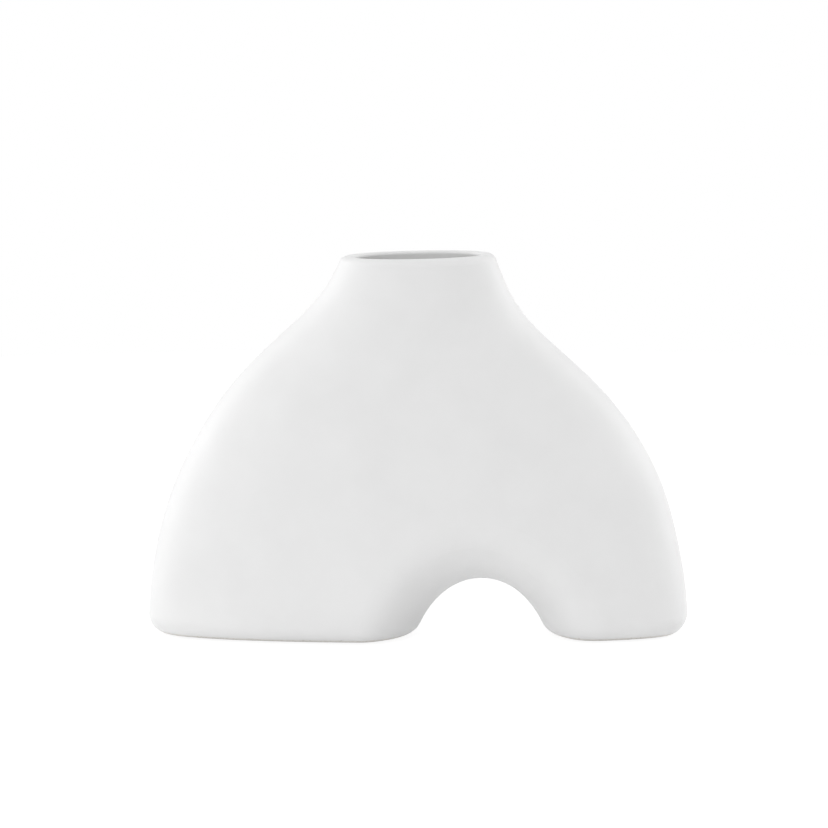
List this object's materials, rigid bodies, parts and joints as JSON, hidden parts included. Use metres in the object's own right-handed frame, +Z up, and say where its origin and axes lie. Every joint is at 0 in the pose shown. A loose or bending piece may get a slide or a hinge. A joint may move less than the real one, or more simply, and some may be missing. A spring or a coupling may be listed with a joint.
{
  "type": "pillow vase",
  "caption": "Flattened matte white stoneware vase with a short oval neck, broad sloping shoulders and an off-centre arch that parts its base into a wide and a narrow foot.",
  "frame": {"origin": "on the table top, under the middle of the vase's base", "axes": "+X along the long side towards the narrow foot, +Y from the front to the back, +Z up"},
  "size_m": [0.2497, 0.073, 0.1777],
  "materials": {
    "stoneware": "matte white glaze over slip-cast stoneware, bare clay on the foot ring",
    "lining_glaze": "clear satin glaze that makes the inside watertight",
    "felt": "pale pressed wool felt"
  },
  "bodies": {
    "root": {"stoneware_body": "stoneware", "glaze_lining": "lining_glaze", "wide_foot_felt_pad_1": "felt", "wide_foot_felt_pad_2": "felt", "wide_foot_felt_pad_3": "felt", "wide_foot_felt_pad_4": "felt", "narrow_foot_felt_pad_1": "felt", "narrow_foot_felt_pad_2": "felt"}
  },
  "joints": []
}
